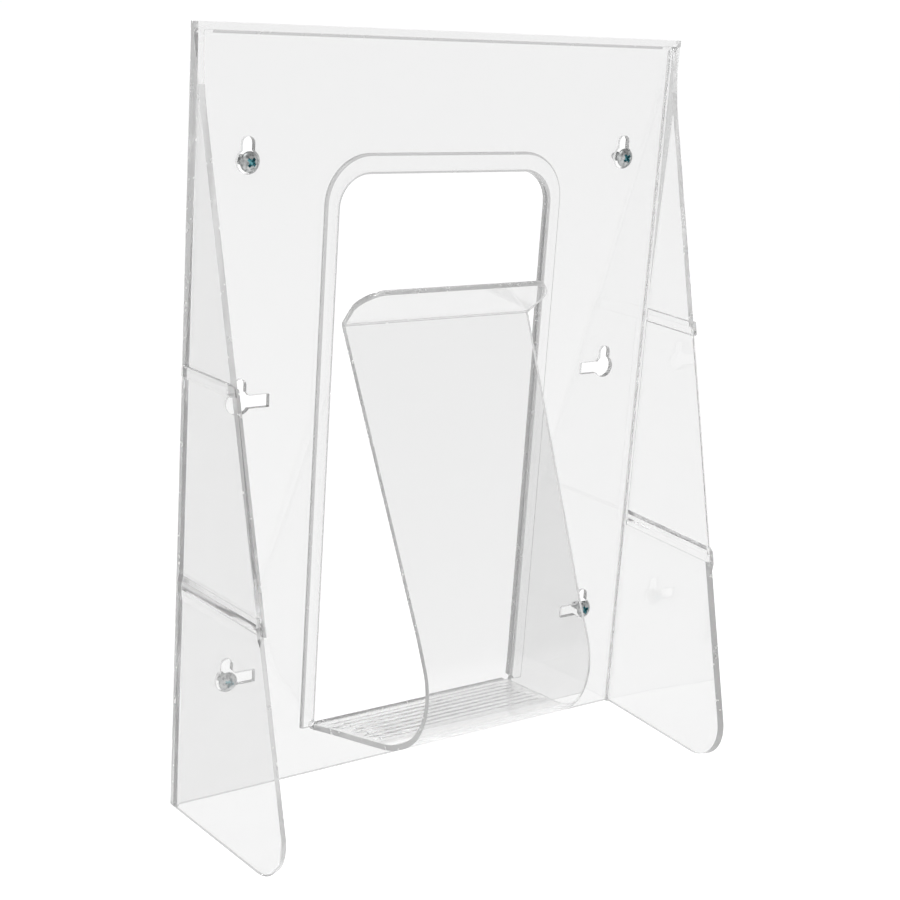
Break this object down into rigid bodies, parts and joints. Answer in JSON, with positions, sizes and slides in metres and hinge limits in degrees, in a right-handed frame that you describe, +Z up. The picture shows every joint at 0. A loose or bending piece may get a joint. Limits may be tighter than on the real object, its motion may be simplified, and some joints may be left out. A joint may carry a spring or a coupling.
{
  "type": "magazine rack",
  "caption": "Clear plastic wall rack for magazines, with stepped side wings, a window in its back panel, a J-shaped front tongue and keyholes on screws.",
  "frame": {"origin": "centre of the four wall screws, on the wall plane at the back panel's rear face", "axes": "+X to the rack's right as seen from the front, +Y into the wall, +Z up"},
  "size_m": [0.2348, 0.0871, 0.3074],
  "materials": {
    "clear_plastic": "clear, polished",
    "zinc_steel": "zinc plated"
  },
  "bodies": {
    "rack": {"back_panel": "clear_plastic", "left_wing_upper": "clear_plastic", "left_wing_middle": "clear_plastic", "left_wing_lower": "clear_plastic", "right_wing_upper": "clear_plastic", "right_wing_middle": "clear_plastic", "right_wing_lower": "clear_plastic", "magazine_tongue": "clear_plastic", "tongue_lip": "clear_plastic"},
    "screw_set": {"upper_left_screw": "zinc_steel", "upper_right_screw": "zinc_steel", "lower_left_screw": "zinc_steel", "lower_right_screw": "zinc_steel"}
  },
  "joints": [
    {"name": "keyhole_slide", "type": "slide", "parent": "rack", "child": "screw_set", "axis": [0, 0, 1], "range_m": [0, 0.0068]}
  ]
}
